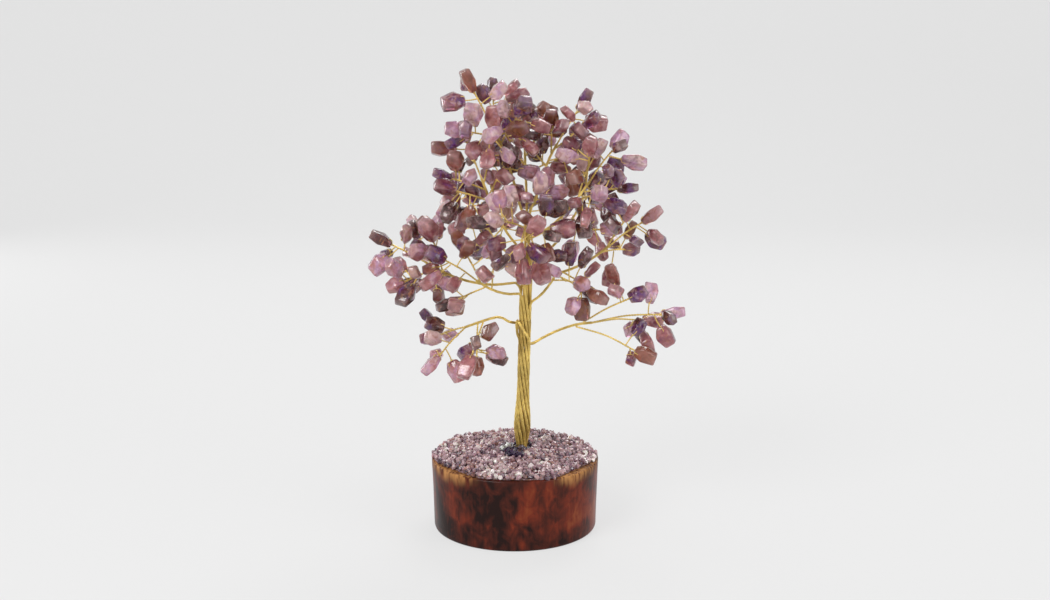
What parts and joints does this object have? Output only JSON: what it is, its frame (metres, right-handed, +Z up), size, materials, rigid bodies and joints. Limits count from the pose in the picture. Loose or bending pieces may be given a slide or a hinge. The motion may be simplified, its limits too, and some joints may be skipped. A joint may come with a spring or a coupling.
{
  "type": "gemstone tree ornament",
  "caption": "Small tree of tumbled amethyst chips on twisted brass wire, glued into a round lacquered wood block topped with stone gravel.",
  "frame": {"origin": "centre of the wooden block's flat underside", "axes": "+Z up along the tree, -Y towards the front, +X to the right of a viewer in front"},
  "size_m": [0.1394, 0.0941, 0.2046],
  "materials": {
    "lacquered_wood": "dark red-brown wood under glossy lacquer",
    "bed_glue": "hardened amber craft glue",
    "gravel": "crushed pale amethyst, glittering",
    "dark_chips": "dark purple tumbled chips",
    "brass_wire": "gold-coloured twisted brass wire",
    "stone_chips": "polished tumbled amethyst, pale lilac to plum"
  },
  "bodies": {
    "tree": {"back_left_chips": "stone_chips", "back_left_stem": "brass_wire", "back_left_wires": "brass_wire", "back_right_chips": "stone_chips", "back_right_stem": "brass_wire", "back_right_wires": "brass_wire", "crown_back_chips": "stone_chips", "crown_back_stem": "brass_wire", "crown_back_wires": "brass_wire", "crown_front_chips": "stone_chips", "crown_front_stem": "brass_wire", "crown_front_wires": "brass_wire", "crown_left_chips": "stone_chips", "crown_left_stem": "brass_wire", "crown_left_wires": "brass_wire", "crown_right_chips": "stone_chips", "crown_right_stem": "brass_wire", "crown_right_wires": "brass_wire", "foot_chips": "dark_chips", "gravel_chips": "gravel", "gravel_glue": "bed_glue", "left_inner_chips": "stone_chips", "left_inner_stem": "brass_wire", "left_inner_wires": "brass_wire", "left_mid_chips": "stone_chips", "left_mid_stem": "brass_wire", "left_mid_wires": "brass_wire", "low_left_strand": "brass_wire", "low_right_strand": "brass_wire", "right_low_chips": "stone_chips", "right_low_stem": "brass_wire", "right_low_wires": "brass_wire", "right_mid_chips": "stone_chips", "right_mid_stem": "brass_wire", "right_mid_wires": "brass_wire", "socket_glue": "bed_glue", "top_left_chips": "stone_chips", "top_left_stem": "brass_wire", "top_left_wires": "brass_wire", "top_right_chips": "stone_chips", "top_right_stem": "brass_wire", "top_right_wires": "brass_wire", "wood_base": "lacquered_wood"},
    "low_right_branch": {"low_right_chips": "stone_chips", "low_right_stem": "brass_wire", "low_right_wires": "brass_wire"},
    "low_left_branch": {"low_left_chips": "stone_chips", "low_left_stem": "brass_wire", "low_left_wires": "brass_wire"}
  },
  "joints": [
    {"name": "low_right_bend", "type": "hinge", "parent": "tree", "child": "low_right_branch", "pos_m": [0.00873, -0.00388, 0.08504], "axis": [-0.0428, -0.9991, 0], "range_deg": [-20, 10]},
    {"name": "low_left_bend", "type": "hinge", "parent": "tree", "child": "low_left_branch", "pos_m": [-0.00259, 0.00044, 0.09352], "axis": [-0.1083, 0.9941, 0], "range_deg": [-20, 5]}
  ]
}
